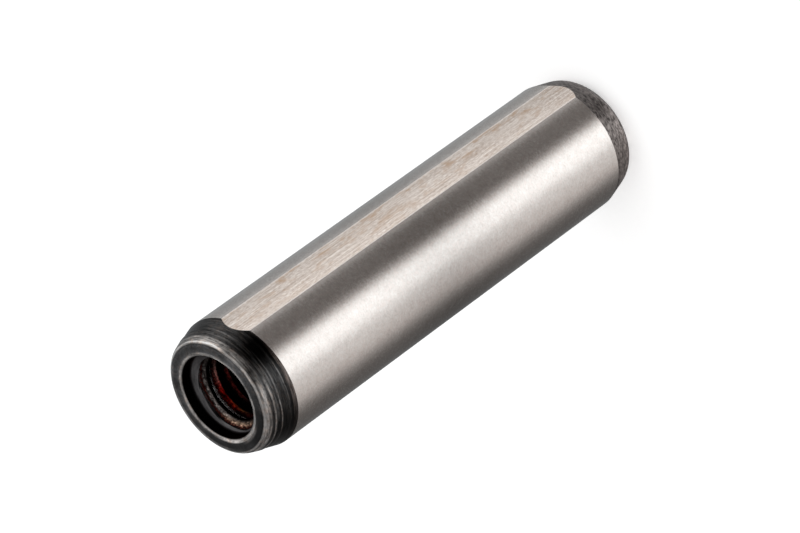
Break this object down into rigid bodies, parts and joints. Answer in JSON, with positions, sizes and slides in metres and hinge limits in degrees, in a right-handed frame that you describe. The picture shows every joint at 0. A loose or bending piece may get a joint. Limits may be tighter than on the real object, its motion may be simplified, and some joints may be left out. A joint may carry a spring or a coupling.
{
  "type": "dowel pin",
  "caption": "Ground steel pull-out dowel pin with tapered ends, an air vent flat along its side and a blind threaded hole in one end.",
  "frame": {"origin": "on the ground cylinder's axis, at the face of the plain end that the pin stands on", "axes": "+Z along the pin's axis from the plain end to the threaded end, -Y out of the air vent flat"},
  "size_m": [0.01, 0.0099, 0.04],
  "materials": {
    "ground_steel": "satin ground cylinder and vent flat, dark heat-treatment scale on the tapered ends and in the hole"
  },
  "bodies": {
    "root": {"dowel_pin": "ground_steel"}
  },
  "joints": []
}
